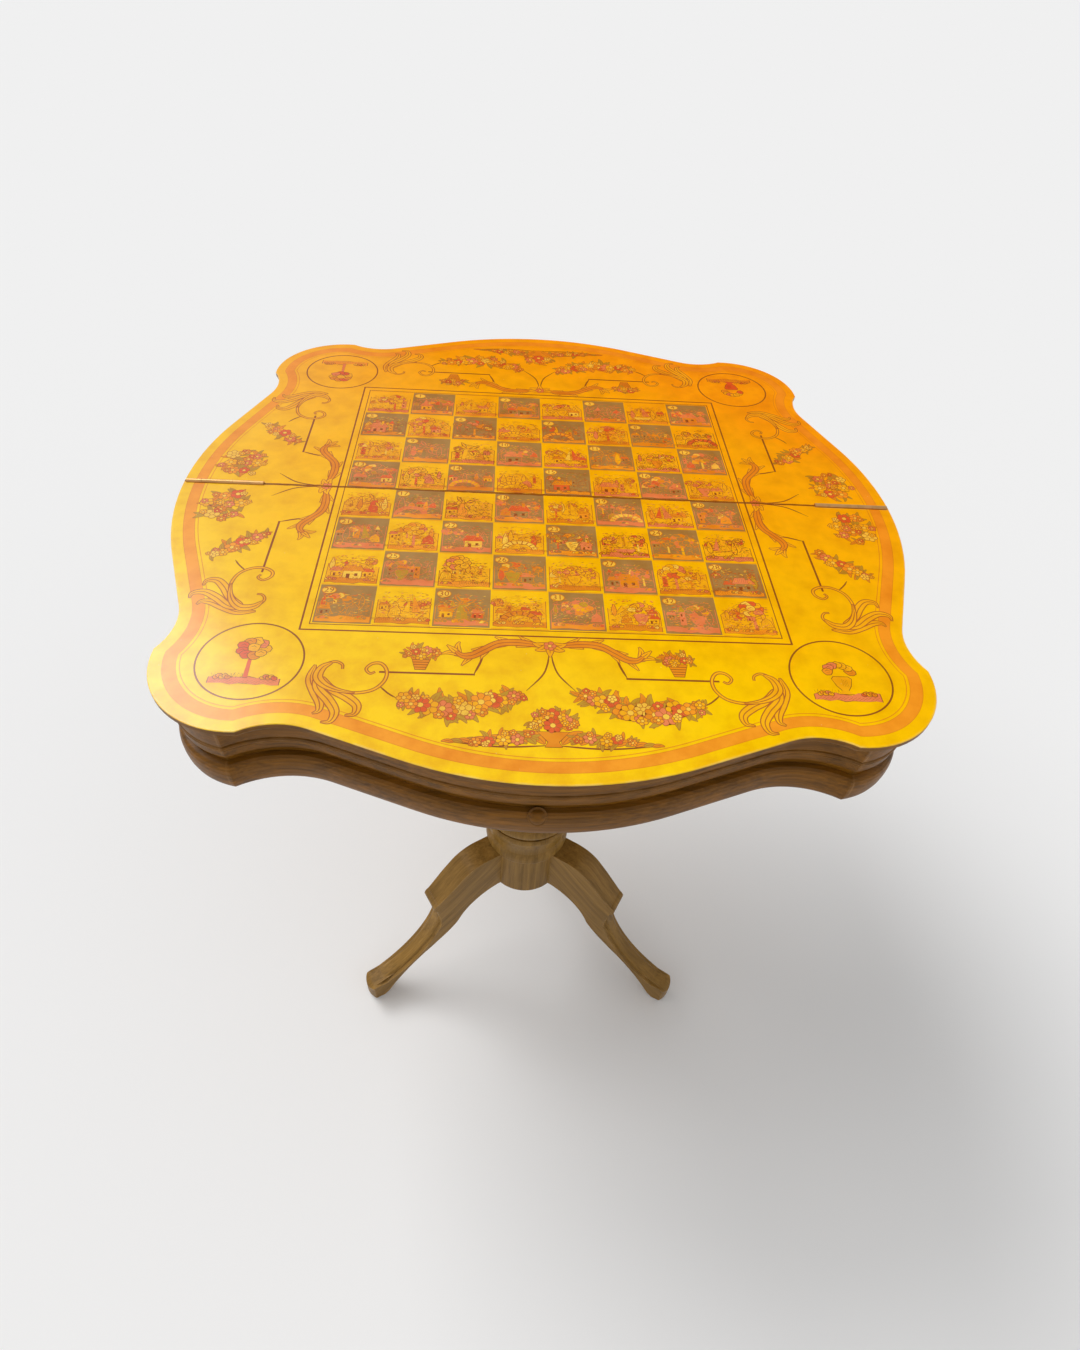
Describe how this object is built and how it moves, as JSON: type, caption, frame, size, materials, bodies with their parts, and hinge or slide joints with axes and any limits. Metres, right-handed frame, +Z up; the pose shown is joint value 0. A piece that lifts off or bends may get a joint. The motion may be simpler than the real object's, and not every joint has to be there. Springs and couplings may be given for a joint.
{
  "type": "folding game table",
  "caption": "Folding game table: a hinged serpentine top printed with a chessboard swivels on an apron box with a storage well, over a turned pedestal with curved legs.",
  "frame": {"origin": "on the floor under the middle of the open top", "axes": "+Z up, -Y towards the front, where the apron box is; +X to the right seen from the front"},
  "size_m": [0.9, 0.9, 0.7632],
  "materials": {
    "play_face": "print under clear gloss lacquer",
    "leaf_wood": "stained, gloss lacquer",
    "apron_wood": "stained walnut, gloss lacquer",
    "pedestal_wood": "stained, satin lacquer",
    "inner_wood": "bare planed softwood",
    "baize": "green baize",
    "felt": "felt strip",
    "brass": "polished brass",
    "steel": "zinc-plated steel",
    "glide_plastic": "moulded"
  },
  "bodies": {
    "base": {"front_rail": "apron_wood", "front_moulding": "apron_wood", "corner_left_block": "apron_wood", "corner_left_moulding": "apron_wood", "corner_right_block": "apron_wood", "corner_right_moulding": "apron_wood", "side_rail_left": "apron_wood", "side_left_moulding": "apron_wood", "side_rail_right": "apron_wood", "side_right_moulding": "apron_wood", "back_rail": "apron_wood", "apron_boss": "apron_wood", "well_floor": "inner_wood", "well_lining": "baize", "well_divider": "inner_wood", "swivel_board": "inner_wood", "swivel_bush": "brass", "rail_felt": "felt", "glue_blocks": "inner_wood", "pedestal_drum": "pedestal_wood", "pedestal_collar": "pedestal_wood", "pedestal_ring": "pedestal_wood", "pedestal_column": "pedestal_wood", "column_cleat": "inner_wood", "cleat_screws": "steel", "tie_rod": "steel", "tie_rod_washers": "steel", "tie_rod_nuts": "steel", "leg_front_left": "pedestal_wood", "leg_front_right": "pedestal_wood", "leg_rear": "pedestal_wood", "leg_dowels": "inner_wood", "foot_glides": "glide_plastic"},
    "front_leaf": {"front_leaf_core": "leaf_wood", "front_leaf_face": "play_face", "hinge_front_left": "brass", "hinge_front_right": "brass", "hinge_pin_left": "brass", "hinge_pin_right": "brass", "hinge_screws_front": "brass", "pivot_plate": "steel", "pivot_plate_screws": "steel", "pivot_bolt": "steel", "pivot_washer": "steel", "pivot_nut": "steel", "stop_peg": "pedestal_wood"},
    "rear_leaf": {"rear_leaf_core": "leaf_wood", "rear_leaf_face": "play_face", "hinge_rear_left": "brass", "hinge_rear_right": "brass", "hinge_screws_rear": "brass"}
  },
  "joints": [
    {"name": "top_swivel", "type": "hinge", "parent": "base", "child": "front_leaf", "pos_m": [0.099, -0.099, 0.74], "axis": [0, 0, 1], "range_deg": [0, 90]},
    {"name": "leaf_fold", "type": "hinge", "parent": "front_leaf", "child": "rear_leaf", "pos_m": [0, 0, 0.7602], "axis": [1, 0, 0], "range_deg": [0, 180]}
  ]
}
